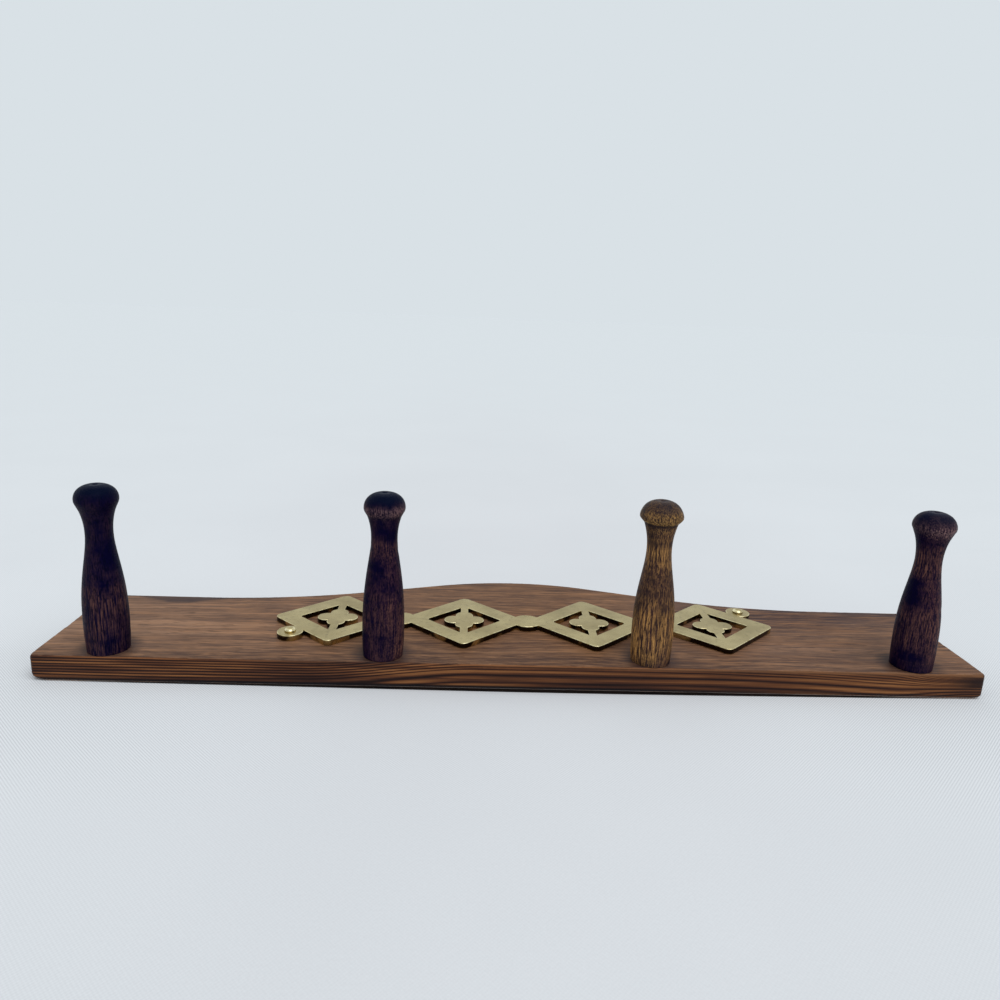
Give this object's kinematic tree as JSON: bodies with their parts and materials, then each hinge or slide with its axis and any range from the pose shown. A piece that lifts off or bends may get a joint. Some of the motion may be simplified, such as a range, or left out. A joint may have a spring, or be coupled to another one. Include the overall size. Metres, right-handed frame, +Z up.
{
  "type": "mug peg rack",
  "caption": "Wall rack for mugs: an arched wooden plank with turned wooden pegs along its lower edge and a pinned openwork brass ornament on its face.",
  "frame": {"origin": "on the back face of the board, which lies on the wall plane y = 0, midway between the hanging points of the two keyholes", "axes": "+X along the board to the right as seen from the room, +Y into the wall, +Z up toward the arch; the pegs point along -Y"},
  "size_m": [0.4064, 0.0825, 0.1018],
  "materials": {
    "board_wood": "satin, walnut-stained softwood with lengthwise grain",
    "dark_peg_wood": "satin, near-black brown stain, reddish where it has worn",
    "golden_peg_wood": "satin, golden brown with dark pores",
    "cast_brass": "polished, lightly tarnished",
    "pin_brass": "polished"
  },
  "bodies": {
    "root": {"board": "board_wood", "peg_1": "dark_peg_wood", "peg_2": "dark_peg_wood", "peg_3": "golden_peg_wood", "peg_4": "dark_peg_wood", "brass_ornament": "cast_brass", "ornament_pins": "pin_brass"}
  },
  "joints": []
}
